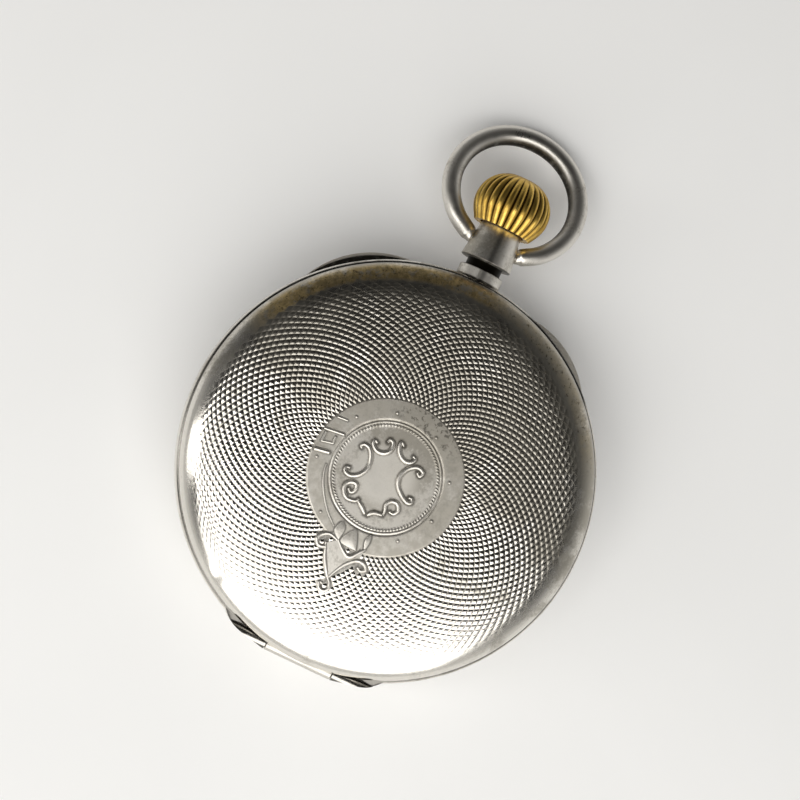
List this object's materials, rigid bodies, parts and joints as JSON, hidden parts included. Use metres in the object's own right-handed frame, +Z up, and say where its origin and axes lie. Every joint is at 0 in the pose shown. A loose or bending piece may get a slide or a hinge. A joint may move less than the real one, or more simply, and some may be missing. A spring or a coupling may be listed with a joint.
{
  "type": "hunter pocket watch",
  "caption": "Hunter-case pocket watch with sprung front lid, hinged back, dust cover, swinging bow, winding crown and a running lever movement.",
  "frame": {"origin": "centre of the flat on the back cover that the watch rests on", "axes": "+Z up through the back cover to the front lid, +X out along the pendant and crown, +Y completes the right-handed frame; the case hinges are on the -X side"},
  "size_m": [0.0701, 0.05, 0.0135],
  "materials": {
    "blued": "blued steel",
    "brass": "polished",
    "crown_gold": "worn gilt polish",
    "enamel": "white enamel",
    "gilt": "matt gilded",
    "glass": "clear",
    "silver": "satin, worn polish and grey patina",
    "steel": "polished steel"
  },
  "bodies": {
    "case": {"case_middle": "silver", "pendant": "silver", "stem_sleeve": "steel", "bezel": "silver", "crystal": "glass", "lock_spring": "steel", "lift_spring": "steel", "front_hinge_pin": "steel", "back_hinge_pin": "steel", "cuvette_hinge_pin": "steel", "dial": "enamel", "main_plate": "gilt", "barrel_bridge": "gilt", "train_bridge": "gilt", "balance_cock": "gilt", "pallet_cock": "gilt", "hairspring": "blued", "click_spring": "steel", "click_screw": "blued", "setting_lever_screw": "blued", "barrel_bridge_screw_1": "blued", "barrel_bridge_screw_2": "blued", "barrel_bridge_screw_3": "blued", "train_bridge_screw_1": "blued", "train_bridge_screw_2": "blued", "balance_cock_screw": "blued", "pallet_cock_screw": "blued", "case_screw_1": "blued", "case_screw_2": "blued"},
    "front_lid": {"front_cover": "silver"},
    "back_lid": {"back_cover": "silver"},
    "dust_lid": {"cuvette": "silver"},
    "bow_ring": {"bow": "silver"},
    "clutch": {"clutch_wheel": "steel"},
    "crown_and_stem": {"crown": "crown_gold", "winding_stem": "steel"},
    "winding_pinion": {"winding_pinion": "steel"},
    "crown_wheel": {"crown_wheel": "steel"},
    "ratchet": {"ratchet_wheel": "steel", "barrel_arbor": "steel", "ratchet_screw": "blued"},
    "click": {"click": "steel"},
    "setting_lever": {"setting_lever": "steel"},
    "seconds": {"fourth_wheel": "gilt", "seconds_hand": "blued"},
    "third": {"third_wheel": "gilt"},
    "minutes": {"centre_wheel": "gilt", "cannon_pinion": "steel", "minute_hand": "blued"},
    "going_barrel": {"barrel": "gilt", "barrel_cover": "gilt", "mainspring": "blued"},
    "escape": {"escape_wheel": "steel"},
    "motion": {"minute_wheel": "gilt"},
    "hours": {"hour_wheel": "gilt", "hour_hand": "blued"},
    "pallets": {"pallet_fork": "steel"},
    "balance": {"balance_wheel": "brass", "balance_staff": "steel"},
    "regulator": {"regulator": "steel"}
  },
  "joints": [
    {"name": "front_cover_hinge", "type": "hinge", "parent": "case", "child": "front_lid", "pos_m": [-0.0243, 0, 0.00935], "axis": [0, -1, 0], "range_deg": [0, 95]},
    {"name": "back_cover_hinge", "type": "hinge", "parent": "case", "child": "back_lid", "pos_m": [-0.0243, 0, 0.00465], "axis": [0, 1, 0], "range_deg": [0, 100]},
    {"name": "cuvette_hinge", "type": "hinge", "parent": "case", "child": "dust_lid", "pos_m": [-0.02135, 0, 0.00423], "axis": [0, 1, 0], "range_deg": [0, 85]},
    {"name": "bow_swing", "type": "hinge", "parent": "case", "child": "bow_ring", "pos_m": [0.0295, 0, 0.007], "axis": [0, -1, 0], "range_deg": [-60, 104]},
    {"name": "keyless_turn", "type": "hinge", "parent": "case", "child": "clutch", "pos_m": [0.01131, 0, 0.007], "axis": [1, 0, 0], "continuous": true},
    {"name": "crown_pull", "type": "slide", "parent": "clutch", "child": "crown_and_stem", "axis": [1, 0, 0], "range_m": [-0.0004, 0.001]},
    {"name": "winding_pinion_turn", "type": "hinge", "parent": "case", "child": "winding_pinion", "pos_m": [0.01271, 0, 0.007], "axis": [1, 0, 0], "continuous": true},
    {"name": "crown_wheel_turn", "type": "hinge", "parent": "case", "child": "crown_wheel", "pos_m": [0.01046, 0, 0.00305], "axis": [0, 0, 1], "continuous": true},
    {"name": "ratchet_turn", "type": "hinge", "parent": "case", "child": "ratchet", "pos_m": [0.00594, 0.00708, 0.00305], "axis": [0, 0, 1], "continuous": true},
    {"name": "click_swing", "type": "hinge", "parent": "case", "child": "click", "pos_m": [0.00714, 0.01387, 0.00305], "axis": [0, 0, 1], "range_deg": [0, 12]},
    {"name": "setting_lever_swing", "type": "hinge", "parent": "case", "child": "setting_lever", "pos_m": [0.01561, 0.0039, 0.0079], "axis": [0, 0, 1], "range_deg": [-6.5, 15.5]},
    {"name": "seconds_turn", "type": "hinge", "parent": "case", "child": "seconds", "pos_m": [0, -0.00999, 0.006], "axis": [0, 0, 1], "continuous": true},
    {"name": "third_wheel_turn", "type": "hinge", "parent": "case", "child": "third", "pos_m": [-0.00211, -0.00535, 0.006], "axis": [0, 0, 1], "continuous": true},
    {"name": "centre_wheel_turn", "type": "hinge", "parent": "case", "child": "minutes", "pos_m": [0, 0, 0.006], "axis": [0, 0, 1], "continuous": true},
    {"name": "barrel_turn", "type": "hinge", "parent": "case", "child": "going_barrel", "pos_m": [0.00594, 0.00708, 0.005], "axis": [0, 0, 1], "continuous": true},
    {"name": "escape_wheel_turn", "type": "hinge", "parent": "case", "child": "escape", "pos_m": [-0.00434, -0.01158, 0.006], "axis": [0, 0, 1], "continuous": true},
    {"name": "minute_wheel_turn", "type": "hinge", "parent": "case", "child": "motion", "pos_m": [-0.00131, 0.00247, 0.008], "axis": [0, 0, 1], "continuous": true},
    {"name": "hour_wheel_turn", "type": "hinge", "parent": "case", "child": "hours", "pos_m": [0, 0, 0.008], "axis": [0, 0, 1], "continuous": true},
    {"name": "pallet_rock", "type": "hinge", "parent": "case", "child": "pallets", "pos_m": [-0.00726, -0.00828, 0.0058], "axis": [0, 0, 1], "range_deg": [-5, 5]},
    {"name": "balance_swing", "type": "hinge", "parent": "case", "child": "balance", "pos_m": [-0.01151, -0.0035, 0.004], "axis": [0, 0, 1], "range_deg": [-150, 150]},
    {"name": "regulator_turn", "type": "hinge", "parent": "case", "child": "regulator", "pos_m": [-0.01151, -0.0035, 0.0025], "axis": [0, 0, 1], "range_deg": [-25, 25]}
  ],
  "couplings": [
    {"joint": "cuvette_hinge", "follows": "back_cover_hinge", "ratio": 0.85},
    {"joint": "winding_pinion_turn", "follows": "keyless_turn", "ratio": 1},
    {"joint": "crown_wheel_turn", "follows": "keyless_turn", "ratio": 0.5},
    {"joint": "ratchet_turn", "follows": "keyless_turn", "ratio": -0.33333},
    {"joint": "setting_lever_swing", "follows": "crown_pull", "rad_per_m": 256.41},
    {"joint": "third_wheel_turn", "follows": "seconds_turn", "ratio": -0.13333},
    {"joint": "centre_wheel_turn", "follows": "seconds_turn", "ratio": 0.016667},
    {"joint": "barrel_turn", "follows": "seconds_turn", "ratio": -0.0027778},
    {"joint": "escape_wheel_turn", "follows": "seconds_turn", "ratio": -10},
    {"joint": "minute_wheel_turn", "follows": "seconds_turn", "ratio": -0.0055556},
    {"joint": "hour_wheel_turn", "follows": "seconds_turn", "ratio": 0.0013889}
  ]
}
